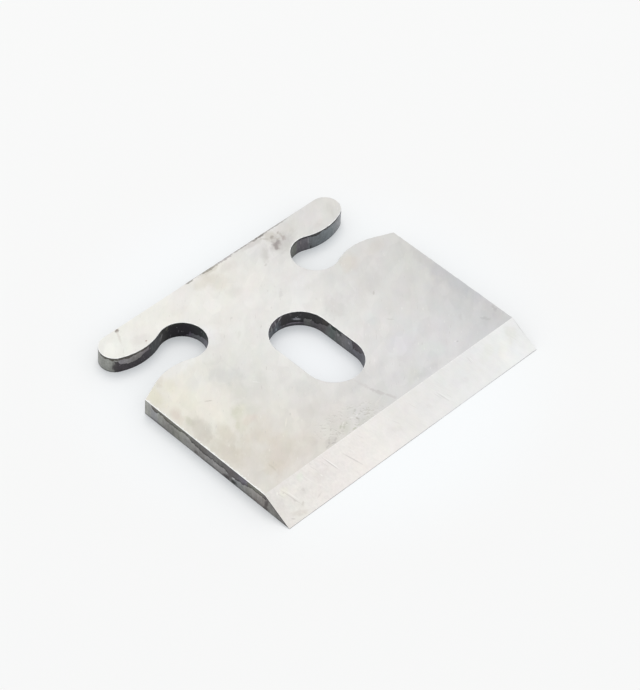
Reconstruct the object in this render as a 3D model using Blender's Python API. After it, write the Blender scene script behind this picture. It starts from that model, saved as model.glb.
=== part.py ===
"""Spokeshave blade: a flat iron with two keyhole notches, a slot and one ground bevel.

The blade lies on its flat back with the bevel up. X runs along the cutting edge, Y from
the cutting edge to the eared back edge, and Z up through the plate. The origin is on the
back, in the middle of the blade's width and length. Lengths are in metres.
"""
import math

import bmesh
import bpy
from mathutils import Vector

# The plate. The edge break is the light chamfer round every rim.
BODY_WIDTH = 0.0540
BLADE_LENGTH = 0.0453
THICKNESS = 0.003175
EDGE_BREAK = 0.0001

# The bevel, ground across the whole front. The land is what is left of the edge's height.
BEVEL_ANGLE = math.radians(30.0)
EDGE_LAND = 0.00005

# The slot that the cap screw passes through, with its front end's distance from the edge.
SLOT_WIDTH = 0.0100
SLOT_LENGTH = 0.0170
SLOT_TO_EDGE = 0.01315

# The notches that the two adjusting nuts sit in. The depth runs from the body's side to
# the notch's floor, and the lip is how far each lobe closes the mouth.
NOTCH_DIAMETER = 0.0079
NOTCH_DEPTH = 0.01655
NOTCH_LIP = 0.00105

# The lobes above and below each mouth. The upper one is the ear, as deep as this from the
# back edge, and the lower one falls to the side along a straight shoulder.
LOBE_RADIUS = 0.0100
EAR_DEPTH = 0.0059
EAR_TIP_RADIUS = 0.0026
SHOULDER_SLOPE = math.radians(23.5)

# How far a flat facet may lie from the true curve.
CHORD_ERROR = 0.000004

MERGE_DISTANCE = 0.000001

# Walls that meet at more than this show a corner.
WALL_CORNER = math.radians(20.0)


def clear_scene():
    """Remove the objects that the scene opens with."""
    for existing in list(bpy.data.objects):
        bpy.data.objects.remove(existing, do_unlink=True)


def make_collection(name):
    collection = bpy.data.collections.new(name)
    bpy.context.scene.collection.children.link(collection)
    return collection


def make_material(name, color, metallic, roughness):
    material = bpy.data.materials.new(name)
    material.use_nodes = True
    material.diffuse_color = (*color, 1.0)
    shader = material.node_tree.nodes["Principled BSDF"]
    shader.inputs["Base Color"].default_value = (*color, 1.0)
    shader.inputs["Metallic"].default_value = metallic
    shader.inputs["Roughness"].default_value = roughness
    return material


def bearing(origin, target):
    """Angle of the line from one point to another."""
    return math.atan2(target.y - origin.y, target.x - origin.x)


def arc(centre, radius, start, end):
    """Points round a circle from the start angle up to, but not at, the end angle."""
    step = 2 * math.acos(1 - CHORD_ERROR / radius)
    count = math.ceil(abs(end - start) / step)
    angles = [start + (end - start) * i / count for i in range(count)]
    return [(centre.x + radius * math.cos(a), centre.y + radius * math.sin(a)) for a in angles]


def half_outline(front):
    """Right half of the plate's edge, from the back edge round the notch to the front.

    The tip, the lobes and the notch are circles that touch each other, so the edge runs
    smoothly from the ear round the notch and out along the shoulder.
    """
    side = BODY_WIDTH / 2
    back = BLADE_LENGTH / 2
    notch_radius = NOTCH_DIAMETER / 2
    half_mouth = notch_radius - NOTCH_LIP
    tip_radius = min(EAR_TIP_RADIUS, EAR_DEPTH / 2)

    notch = Vector((side - NOTCH_DEPTH + notch_radius, back - EAR_DEPTH - half_mouth))
    lobe_out = math.sqrt(NOTCH_LIP * (2 * (notch_radius + LOBE_RADIUS) - NOTCH_LIP))
    lobe_rise = half_mouth + LOBE_RADIUS
    upper = notch + Vector((lobe_out, lobe_rise))
    lower = notch + Vector((lobe_out, -lobe_rise))
    tip_out = math.sqrt((EAR_DEPTH - 2 * tip_radius) * (2 * LOBE_RADIUS - EAR_DEPTH))
    tip = Vector((upper.x + tip_out, back - tip_radius))

    # The shoulder leaves the lower lobe where the lobe has its slope, or at the body's side.
    side_angle = math.acos(max(-1.0, min(1.0, (side - lower.x) / LOBE_RADIUS)))
    leave_angle = max(math.pi / 2 - SHOULDER_SLOPE, side_angle)
    leave = lower + LOBE_RADIUS * Vector((math.cos(leave_angle), math.sin(leave_angle)))
    corner_y = leave.y - (side - leave.x) * math.tan(SHOULDER_SLOPE)

    points = arc(tip, tip_radius, math.pi / 2, bearing(upper, tip))
    points += arc(upper, LOBE_RADIUS, bearing(upper, tip), bearing(upper, notch))
    points += arc(notch, notch_radius, bearing(notch, upper), bearing(notch, lower) + math.tau)
    points += arc(lower, LOBE_RADIUS, bearing(lower, notch), leave_angle)
    points += [leave.to_tuple(), (side, corner_y), (side, front)]
    return points


def plate_outline():
    """Clockwise outline of the blank, longer at the front by what the grinding takes off."""
    right = half_outline(-BLADE_LENGTH / 2 - THICKNESS)
    left = [(-x, y) for x, y in reversed(right)]
    return right + left


def slot_outline():
    """Anticlockwise outline of the slot: two half circles joined by straight sides."""
    radius = SLOT_WIDTH / 2
    near_y = -BLADE_LENGTH / 2 + SLOT_TO_EDGE + radius
    far_y = near_y + SLOT_LENGTH - SLOT_WIDTH
    far_end = arc(Vector((0, far_y)), radius, 0, math.pi) + [(-radius, far_y)]
    near_end = arc(Vector((0, near_y)), radius, math.pi, math.tau) + [(radius, near_y)]
    return far_end + near_end


def extrude_outlines(name, outlines, depth, rim=0.0):
    """Solid from flat outlines, extruded to the given depth, with its rims chamfered."""
    curve = bpy.data.curves.new(name, "CURVE")
    curve.dimensions = "2D"
    curve.fill_mode = "BOTH"
    curve.extrude = depth / 2 - rim
    curve.bevel_depth = rim
    curve.bevel_resolution = 0
    curve.offset = -rim
    for outline in outlines:
        spline = curve.splines.new("POLY")
        spline.points.add(len(outline) - 1)
        for point, (x, y) in zip(spline.points, outline):
            point.co = (x, y, 0, 1)
        spline.use_cyclic_u = True

    curve_object = bpy.data.objects.new(name, curve)
    bpy.context.scene.collection.objects.link(curve_object)
    bpy.context.view_layer.update()
    evaluated = curve_object.evaluated_get(bpy.context.evaluated_depsgraph_get())
    mesh = bpy.data.meshes.new_from_object(evaluated)
    placement = curve_object.matrix_world.copy()
    bpy.data.objects.remove(curve_object, do_unlink=True)
    bpy.data.curves.remove(curve)

    weld = bmesh.new()
    weld.from_mesh(mesh)
    bmesh.ops.remove_doubles(weld, verts=weld.verts, dist=MERGE_DISTANCE)
    bmesh.ops.recalc_face_normals(weld, faces=weld.faces)
    weld.to_mesh(mesh)
    weld.free()

    solid = bpy.data.objects.new(name, mesh)
    solid.matrix_world = placement
    return solid


def make_grinding_wedge():
    """Cutter for the bevel: all that lies in front of the land and above the bevel.

    Its profile is drawn as Y across and Z up, and runs along the blade's X.
    """
    edge_y = -BLADE_LENGTH / 2
    front_y = edge_y - 2 * THICKNESS
    top_z = 2 * THICKNESS
    slope_end_y = edge_y + (top_z - EDGE_LAND) / math.tan(BEVEL_ANGLE)
    profile = [(front_y, -THICKNESS), (edge_y, -THICKNESS), (edge_y, EDGE_LAND),
               (slope_end_y, top_z), (front_y, top_z)]
    wedge = extrude_outlines("grinding_wedge", [profile], BODY_WIDTH + 2 * THICKNESS)
    wedge.rotation_euler = (math.pi / 2, 0, math.pi / 2)
    wedge.hide_render = True
    wedge.display_type = "WIRE"
    return wedge


def finish_faces(plate, steel, scale):
    """Flat ground steel on the faces, and smooth dark scale on the walls between them."""
    plate.data.materials.append(steel)
    plate.data.materials.append(scale)
    plate.data.set_sharp_from_angle(angle=WALL_CORNER)
    for face in plate.data.polygons:
        is_wall = abs(face.normal.z) < 0.5
        face.material_index = int(is_wall)
        face.use_smooth = is_wall


def make_blade():
    parts = make_collection("spokeshave_blade")
    cutters = make_collection("cutters")
    steel = make_material("ground_steel", (0.76, 0.75, 0.73), 1.0, 0.35)
    scale = make_material("edge_scale", (0.17, 0.17, 0.18), 0.6, 0.55)

    blade = extrude_outlines("blade", [plate_outline(), slot_outline()], THICKNESS, EDGE_BREAK)
    blade.location.z = THICKNESS / 2
    finish_faces(blade, steel, scale)
    parts.objects.link(blade)

    wedge = make_grinding_wedge()
    cutters.objects.link(wedge)
    grind = blade.modifiers.new("grind_bevel", "BOOLEAN")
    grind.operation = "DIFFERENCE"
    grind.solver = "EXACT"
    grind.object = wedge


clear_scene()
make_blade()
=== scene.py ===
"""Spokeshave blade, lying on its flat back on a pale floor with the ground bevel up."""
import math

import bmesh
import bpy
import numpy as np
from mathutils import Matrix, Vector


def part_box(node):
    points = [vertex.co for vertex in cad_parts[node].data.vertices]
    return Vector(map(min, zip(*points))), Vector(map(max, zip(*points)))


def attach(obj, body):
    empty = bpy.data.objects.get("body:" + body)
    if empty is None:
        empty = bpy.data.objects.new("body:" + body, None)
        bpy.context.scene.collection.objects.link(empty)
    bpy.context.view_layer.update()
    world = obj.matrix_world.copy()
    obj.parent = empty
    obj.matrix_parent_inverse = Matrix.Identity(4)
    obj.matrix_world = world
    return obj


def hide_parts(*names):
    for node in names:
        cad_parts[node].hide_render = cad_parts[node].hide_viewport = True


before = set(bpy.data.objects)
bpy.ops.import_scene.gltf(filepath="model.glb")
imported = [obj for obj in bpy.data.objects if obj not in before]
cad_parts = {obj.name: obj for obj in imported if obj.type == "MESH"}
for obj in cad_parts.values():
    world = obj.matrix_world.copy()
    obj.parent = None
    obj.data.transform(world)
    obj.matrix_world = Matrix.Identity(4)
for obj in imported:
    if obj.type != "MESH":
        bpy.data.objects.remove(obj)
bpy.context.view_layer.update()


# The blade's outline. The real blade is blanked from flat tool steel plate, so one flat
# outline gives all its walls: ears at the back, a keyhole notch in each side for the
# adjusting nuts, straight shoulders, and a slot for the cap screw. Sizes are in metres.
MILLIMETRE = 0.001
low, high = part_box("blade")
SIDE = high.x
BACK = high.y
FRONT = low.y
THICKNESS = high.z - low.z
BEVEL_ANGLE = 30.0
BEVEL_SLOPE = math.tan(math.radians(BEVEL_ANGLE))
EDGE_LAND = 0.00005
CREASE = FRONT + (THICKNESS - EDGE_LAND) / BEVEL_SLOPE
NOTCH_RADIUS = 0.00395
NOTCH_DEPTH = 0.01655
NOTCH_LIP = 0.00105
LOBE_RADIUS = 0.0100
EAR_DEPTH = 0.0059
EAR_TIP_RADIUS = 0.0026
SHOULDER_SLOPE = math.radians(23.5)
SLOT_RADIUS = 0.0050
SLOT_NEAR = FRONT + 0.01315 + SLOT_RADIUS
SLOT_FAR = SLOT_NEAR + 0.0070
POINT_SPACING = 0.00015


def line(start, end):
    """Points evenly spaced from start up to, but not at, end: start + (end - start) t."""
    start, end = np.array(start), np.array(end)
    count = max(1, round(np.linalg.norm(end - start) / POINT_SPACING))
    return start + (end - start) * np.arange(count)[:, None] / count


def arc(centre, radius, start, end):
    """Points round a circle up to, but not at, the end angle: centre + radius (cos a, sin a)."""
    count = max(2, round(abs(end - start) * radius / POINT_SPACING))
    angle = start + (end - start) * np.arange(count) / count
    return np.array(centre) + radius * np.stack([np.cos(angle), np.sin(angle)], axis=1)


def bearing(origin, target):
    """Angle of the line from one point to another."""
    return math.atan2(target[1] - origin[1], target[0] - origin[0])


def half_stretches():
    """Right half of the outline as touching arcs and lines, from the ear's tip to the front."""
    half_mouth = NOTCH_RADIUS - NOTCH_LIP
    notch = np.array([SIDE - NOTCH_DEPTH + NOTCH_RADIUS, BACK - EAR_DEPTH - half_mouth])
    lobe_out = math.sqrt(NOTCH_LIP * (2 * (NOTCH_RADIUS + LOBE_RADIUS) - NOTCH_LIP))
    upper = notch + [lobe_out, half_mouth + LOBE_RADIUS]
    lower = notch + [lobe_out, -half_mouth - LOBE_RADIUS]
    tip_out = math.sqrt((EAR_DEPTH - 2 * EAR_TIP_RADIUS) * (2 * LOBE_RADIUS - EAR_DEPTH))
    tip = np.array([upper[0] + tip_out, BACK - EAR_TIP_RADIUS])
    leave_angle = math.pi / 2 - SHOULDER_SLOPE
    leave = lower + LOBE_RADIUS * np.array([math.cos(leave_angle), math.sin(leave_angle)])
    corner = [SIDE, leave[1] - (SIDE - leave[0]) * math.tan(SHOULDER_SLOPE)]
    return [
        arc(tip, EAR_TIP_RADIUS, math.pi / 2, bearing(upper, tip)),
        arc(upper, LOBE_RADIUS, bearing(upper, tip), bearing(upper, notch)),
        arc(notch, NOTCH_RADIUS, bearing(notch, upper), bearing(notch, lower) + math.tau),
        arc(lower, LOBE_RADIUS, bearing(lower, notch), leave_angle),
        line(leave, corner),
        line(corner, [SIDE, CREASE]),
        line([SIDE, CREASE], [SIDE, FRONT]),
    ]


right_stretches = half_stretches()
right = np.concatenate(right_stretches)
left = np.concatenate([right, [[SIDE, FRONT]]])[::-1] * [-1, 1]
cutting_edge = line([SIDE, FRONT], [-SIDE, FRONT])
back_edge = line(left[-1], right[0])
outline = np.concatenate([right, cutting_edge, left[:-1], back_edge])
slot = np.concatenate([
    arc([0, SLOT_FAR], SLOT_RADIUS, 0, math.pi),
    line([-SLOT_RADIUS, SLOT_FAR], [-SLOT_RADIUS, SLOT_NEAR]),
    arc([0, SLOT_NEAR], SLOT_RADIUS, math.pi, math.tau),
    line([SLOT_RADIUS, SLOT_NEAR], [SLOT_RADIUS, SLOT_FAR]),
])


# The blade's skin. The walls are the outline carried down through the plate, with a
# broken rim at the top and bottom. The faces between the rims are ground flat, and the
# front is ground back to the cutting edge.
RIM_RADIUS = 0.0001
BEVEL_RIM_RADIUS = 0.00002
RIM_ROWS = 4
WALL_ROWS = 6
SHARP_ANGLE = math.radians(40)
rim_turn = np.radians(np.linspace(90, 0, RIM_ROWS))
ROW_TURN = np.concatenate([rim_turn, np.zeros(WALL_ROWS), -rim_turn[::-1]])
ROW_SHARE = np.concatenate([np.ones(RIM_ROWS), np.linspace(1, 0, WALL_ROWS + 2)[1:-1],
                            np.zeros(RIM_ROWS)])
ROWS = len(ROW_TURN)


def plate_height(y):
    """Height of the upper surface: the plate's thickness, or the bevel's slope at the front."""
    return np.minimum(THICKNESS, EDGE_LAND + (y - FRONT) * BEVEL_SLOPE)


def outward(path):
    """Step that moves each point of a closed path one unit off the steel, mitred at corners.

    With the unit normals a and b of the two sides that meet, it is (a + b) / (1 + a . b).
    """
    ahead = np.roll(path, -1, axis=0) - path
    ahead /= np.linalg.norm(ahead, axis=1)[:, None]
    normal = np.stack([-ahead[:, 1], ahead[:, 0]], axis=1)
    before = np.roll(normal, 1, axis=0)
    return (normal + before) / (1 + np.sum(normal * before, axis=1))[:, None]


def wall(path):
    """Points of the wall under a closed path, in rows going down and columns going round.

    The rim is a quarter circle, so its points lie radius (1 - cos a) inside the path and
    radius (1 - sin a) below the face, and the wall runs straight down between two rims.
    Where the bevel leaves little height, the lower rim takes a third of it at most.
    """
    height = plate_height(path[:, 1])
    past_crease = np.clip((CREASE - path[:, 1]) / (2 * RIM_RADIUS), 0, 1)
    top_radius = RIM_RADIUS + (BEVEL_RIM_RADIUS - RIM_RADIUS) * past_crease
    foot_radius = np.minimum(RIM_RADIUS, height / 3)
    radius = np.where(ROW_SHARE[:, None] > 0.5, top_radius, foot_radius)
    inset = radius * (1 - np.cos(ROW_TURN))[:, None]
    place = path - outward(path) * inset[..., None]
    share = ROW_SHARE[:, None]
    z = share * (height - top_radius) + (1 - share) * foot_radius
    z = z + radius * np.sin(ROW_TURN)[:, None]
    z[0] = plate_height(place[0, :, 1])
    return np.concatenate([place, z[..., None]], axis=2)


def wall_faces(count, first):
    """Four-sided faces between neighbouring columns and rows of a closed wall."""
    column = np.arange(count)
    beside = (column + 1) % count
    top = first + np.arange(ROWS - 1)[:, None] * count
    return np.stack([top + column, top + beside, top + beside + count, top + column + count],
                    axis=2).reshape(-1, 4)


outer_wall = wall(outline)
slot_wall = wall(slot)
points = np.concatenate([outer_wall.reshape(-1, 3), slot_wall.reshape(-1, 3)])
faces = np.concatenate([wall_faces(len(outline), 0),
                        wall_faces(len(slot), outer_wall[..., 0].size)])
skin = bpy.data.meshes.new("spokeshave_blade")
skin.from_pydata(points.tolist(), [], faces.tolist())

# The outer wall is painted in stretches, so that each has its own distance along it: the
# right ear, right side, land, left side, left shoulder, left ear and back. A distance is
# zero at its zero point and grows the way the outline runs, or against it.
EAR_RUN = 31.0
SLOT_SEEN = 19.0
TO_CORNER = 5
LAND_STRETCH = 2
ROUNDING = 0.001


def travelled(path):
    """Distance in millimetres along a closed path to each of its points, and each step's own."""
    step = np.linalg.norm(np.roll(path, -1, axis=0) - path, axis=1) / MILLIMETRE
    return np.cumsum(step) - step, step


run, step = travelled(outline)
slot_run, slot_step = travelled(slot)
front_right = run[len(right)]
front_left = run[len(right) + len(cutting_edge)]
left_start = run[len(outline) - len(back_edge)]
left_corner = left_start - run[len(np.concatenate(right_stretches[:TO_CORNER]))]
begins = np.array([0, EAR_RUN, front_right, front_left, left_corner, left_start - EAR_RUN,
                   left_start])
zeros = np.array([0, EAR_RUN, front_right, left_corner, left_corner, left_start, left_start])
ways = np.array([1, 1, 1, -1, 1, -1, 1])
stretch = np.searchsorted(begins, run + ROUNDING, side="right") - 1
is_land = stretch == LAND_STRETCH

FACE, BEVEL, RIM, UNDERSIDE, SLOT, OUTER = range(6)
surface = np.tile(OUTER + stretch, (ROWS - 1, 1))
# At the land the rim rows keep the land's finish, so its painted shade reaches the edge.
surface[:RIM_ROWS - 1, ~is_land] = RIM
slot_surface = np.full((ROWS - 1, len(slot)), SLOT)
slot_surface[:RIM_ROWS - 1] = RIM
surface = np.concatenate([surface.ravel(), slot_surface.ravel()])
wall_count = len(surface)
slot_first_face = (ROWS - 1) * len(outline)
skin.polygons.foreach_set("material_index", surface)

build = bmesh.new()
build.from_mesh(skin)
build.verts.ensure_lookup_table()
crease_right = len(np.concatenate(right_stretches[:-1]))
crease_left = len(outline) - len(back_edge) - crease_right
crease_edge = build.edges.new([build.verts[crease_right], build.verts[crease_left]])


def fill(edges, material):
    """Flat faces inside a closed loop of edges, less any loop within it."""
    made = bmesh.ops.triangle_fill(build, edges=edges, use_beauty=True)["geom"]
    for item in made:
        if isinstance(item, bmesh.types.BMFace):
            item.material_index = material


def loop_edges(indices):
    """Edges that join each vertex to the next."""
    joined = zip(indices[:-1], indices[1:])
    return [build.edges.get([build.verts[a], build.verts[b]]) for a, b in joined]


slot_first = outer_wall[..., 0].size
slot_ring = [*range(slot_first, slot_first + len(slot)), slot_first]
back_ring = [*range(crease_left, len(outline)), *range(0, crease_right + 1)]
front_ring = list(range(crease_right, crease_left + 1))
fill(loop_edges(back_ring) + loop_edges(slot_ring) + [crease_edge], FACE)
fill(loop_edges(front_ring) + [crease_edge], BEVEL)
foot = (ROWS - 1) * len(outline)
slot_foot = slot_first + (ROWS - 1) * len(slot)
foot_ring = [*range(foot, foot + len(outline)), foot]
slot_foot_ring = [*range(slot_foot, slot_foot + len(slot)), slot_foot]
fill(loop_edges(foot_ring) + loop_edges(slot_foot_ring), UNDERSIDE)
bmesh.ops.recalc_face_normals(build, faces=build.faces)
build.to_mesh(skin)
build.free()
skin.set_sharp_from_angle(angle=SHARP_ANGLE)
surface = np.zeros(len(skin.polygons), dtype=int)
skin.polygons.foreach_get("material_index", surface)
skin.polygons.foreach_set("use_smooth", (surface == RIM) | (surface >= SLOT))

# The walls' own map holds the distance along the stretch and the height, in millimetres.
corner_point = np.zeros(len(skin.loops), dtype=int)
skin.loops.foreach_get("vertex_index", corner_point)
corner_count = np.zeros(len(skin.polygons), dtype=int)
skin.polygons.foreach_get("loop_total", corner_count)
owner = np.repeat(np.arange(len(skin.polygons)), corner_count)
column = owner % len(outline)
is_next = corner_point % len(outline) != column
along = (run[column] + step[column] * is_next - zeros[stretch[column]]) * ways[stretch[column]]
slot_column = (owner - slot_first_face) % len(slot)
is_next = (corner_point - slot_first) % len(slot) != slot_column
around = slot_run[slot_column] + slot_step[slot_column] * is_next
around -= np.where(slot_run[slot_column] > SLOT_SEEN, slot_step.sum(), 0)
along = np.where(owner < slot_first_face, along, around) * (owner < wall_count)
corner_place = np.stack([along, points[corner_point, 2] / MILLIMETRE], axis=1)
skin.uv_layers.new(name="wall_place").data.foreach_set("uv", corner_place.ravel())


def set_out(name, data):
    """New object that holds a mesh, lamp or camera, linked into the scene."""
    made = bpy.data.objects.new(name, data)
    bpy.context.scene.collection.objects.link(made)
    return made


blade = set_out("blade_skin", skin)
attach(blade, "root")
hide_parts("blade")


# The ground face. Tool steel ground flat on the grinder, then handled and stored: it has
# gone unevenly grey, with olive and brown stains by the left side, rust pits in the right
# ear and short rub marks that all run one way. Its tone is also painted lighter at the
# back-left and darker to the front-right, a painted reflection. Places on it are in millimetres.
GRAIN_TURN = 45


def linear(red, green, blue):
    """Scene-linear colour of a screen colour given in 0 to 255."""
    share = np.array([red, green, blue]) / 255
    curve = np.where(share > 0.04045, ((share + 0.055) / 1.055) ** 2.4, share / 12.92)
    return (*curve.tolist(), 1.0)


class Wire:
    """A shader socket. Sums and products of wires and numbers add their own Math nodes."""

    def __init__(self, tree, socket=None):
        self.tree = tree
        self.socket = socket

    def node(self, kind, settings=None, values=None, output=0):
        """Add a node: its settings are set first, then its sockets take values or wires."""
        made = self.tree.nodes.new("ShaderNode" + kind)
        settings = dict(settings or {})
        stops = settings.pop("stops", [])
        for name, value in settings.pop("texture_mapping", {}).items():
            setattr(made.texture_mapping, name, value)
        for name, value in settings.items():
            setattr(made, name, value)
        for index, (place, color) in enumerate(stops):
            if index < 2:
                stop = made.color_ramp.elements[index]
                stop.position = place
            else:
                stop = made.color_ramp.elements.new(place)
            stop.color = color
        for name, value in (values or {}).items():
            if isinstance(value, Wire):
                self.tree.links.new(value.socket, made.inputs[name])
            else:
                made.inputs[name].default_value = value
        return Wire(self.tree, made.outputs[output])

    def math(self, operation, first, second):
        """A Math node's result from two wires or numbers."""
        return self.node("Math", {"operation": operation}, {0: first, 1: second})

    def __add__(self, other):
        return self.math("ADD", self, other)

    def __sub__(self, other):
        return self.math("SUBTRACT", self, other)

    def __rsub__(self, other):
        return self.math("SUBTRACT", other, self)

    def __mul__(self, other):
        return self.math("MULTIPLY", self, other)

    __radd__ = __add__
    __rmul__ = __mul__

    def between(self, low, high, first=0.0, last=1.0):
        """The first value below low and the last above high, with a smooth change between."""
        return self.node("MapRange", {"interpolation_type": "SMOOTHSTEP"},
                         {"Value": self, "From Min": low, "From Max": high, "To Min": first,
                          "To Max": last})

    def scaled(self, factor):
        """A colour or place times a number."""
        return self.node("VectorMath", {"operation": "SCALE"}, {0: self, "Scale": factor})

    def times(self, other):
        """A colour or place times another, each channel or axis on its own."""
        return self.node("VectorMath", {"operation": "MULTIPLY"}, {0: self, 1: other})

    def choose(self, first, second):
        """The first colour where this wire is zero, and the second where it is one."""
        return self.node("Mix", {"data_type": "RGBA"}, {0: self, 6: first, 7: second}, output=2)

    def mixed(self, other, share):
        """This colour with a share of the other laid over it."""
        return share.choose(self, other)

    def noise(self, size, seed, detail=2.0, roughness=0.5, output=0):
        """Soft noise from zero to one, with lumps of about the size. Output 1 is a colour."""
        return self.node("TexNoise", {"noise_dimensions": "4D"},
                         {"Vector": self, "W": seed, "Scale": 1 / size, "Detail": detail,
                          "Roughness": roughness}, output)

    def drawn_out(self, length, width, turn):
        """Place that makes a pattern on it this many times longer and wider, and turns it."""
        return self.node("Mapping", {"vector_type": "TEXTURE"},
                         {"Vector": self, "Rotation": (0, 0, math.radians(turn)),
                          "Scale": (length, width, 1)})

    def nearness(self, x, y, half_length, half_width, turn):
        """One at an ellipse's centre, falling evenly to zero at STAIN_REACH of its half sizes."""
        place = {"vector_type": "TEXTURE", "translation": (x, y, 0),
                 "rotation": (0, 0, math.radians(turn)),
                 "scale": (half_length * STAIN_REACH, half_width * STAIN_REACH, 1)}
        return self.node("TexGradient", {"gradient_type": "SPHERICAL", "texture_mapping": place},
                         {"Vector": self}, output=1)

    def axis(self, name):
        """One axis of a place, or one channel of a colour: X, Y or Z."""
        return self.node("SeparateXYZ", None, {0: self}, output="XYZ".index(name))


def new_finish(name):
    """Empty material. Returns it with a wire to its tree and its Principled shader."""
    material = bpy.data.materials.new(name)
    material.use_nodes = True
    tree = material.node_tree
    shader = tree.nodes["Principled BSDF"]
    return material, Wire(tree), shader


def feed(value, shader, socket):
    """Link a wire to one of the shader's sockets, or set the socket to a number."""
    if isinstance(value, Wire):
        value.tree.links.new(value.socket, shader.inputs[socket])
    else:
        shader.inputs[socket].default_value = value


def feed_steel(shader, color, roughness, metallic=1.0):
    """Feed the colour and roughness of steel, and how metallic it looks."""
    feed(color, shader, "Base Color")
    feed(roughness, shader, "Roughness")
    feed(metallic, shader, "Metallic")


def from_above(wire):
    """Place in millimetres with the height left out."""
    return wire.node("TexCoord", output=3).times((1 / MILLIMETRE, 1 / MILLIMETRE, 0))


def ramped(value, start, end, stops):
    """Colour that changes through the stops as the value goes from start to end."""
    share = (value - start) * (1 / (end - start))
    placed = [((at - start) / (end - start), color) for at, color in stops]
    return share.node("ValToRGB", {"stops": placed}, {0: share})


def along_width(plan, stops):
    """Colour that changes from the left side to the right, with its stops placed by x."""
    half = SIDE / MILLIMETRE
    return ramped(plan.axis("X"), -half, half, [(x, linear(*color)) for x, color in stops])


# How the face's tone runs from side to side at its back, across its middle and in front,
# partly tarnish and partly a painted reflection that is brightest at the back-left.
BACK_TONE = [(-26, (238, 238, 232)), (-13, (238, 236, 230)), (-8, (238, 236, 231)),
             (1, (235, 233, 227)), (8, (228, 227, 224)), (16, (224, 223, 220)),
             (26, (221, 219, 215))]
MIDDLE_TONE = [(-26, (230, 227, 217)), (-21, (234, 231, 222)), (-14, (226, 225, 220)),
               (-7, (231, 230, 226)), (4, (234, 233, 230)), (13, (224, 223, 220)),
               (27, (214, 213, 210))]
FRONT_TONE = [(-26, (224, 220, 213)), (-14, (223, 219, 212)), (-5, (222, 220, 217)),
              (4, (221, 220, 219)), (14, (221, 220, 220)), (21, (213, 213, 213)),
              (27, (207, 207, 207))]

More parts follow.
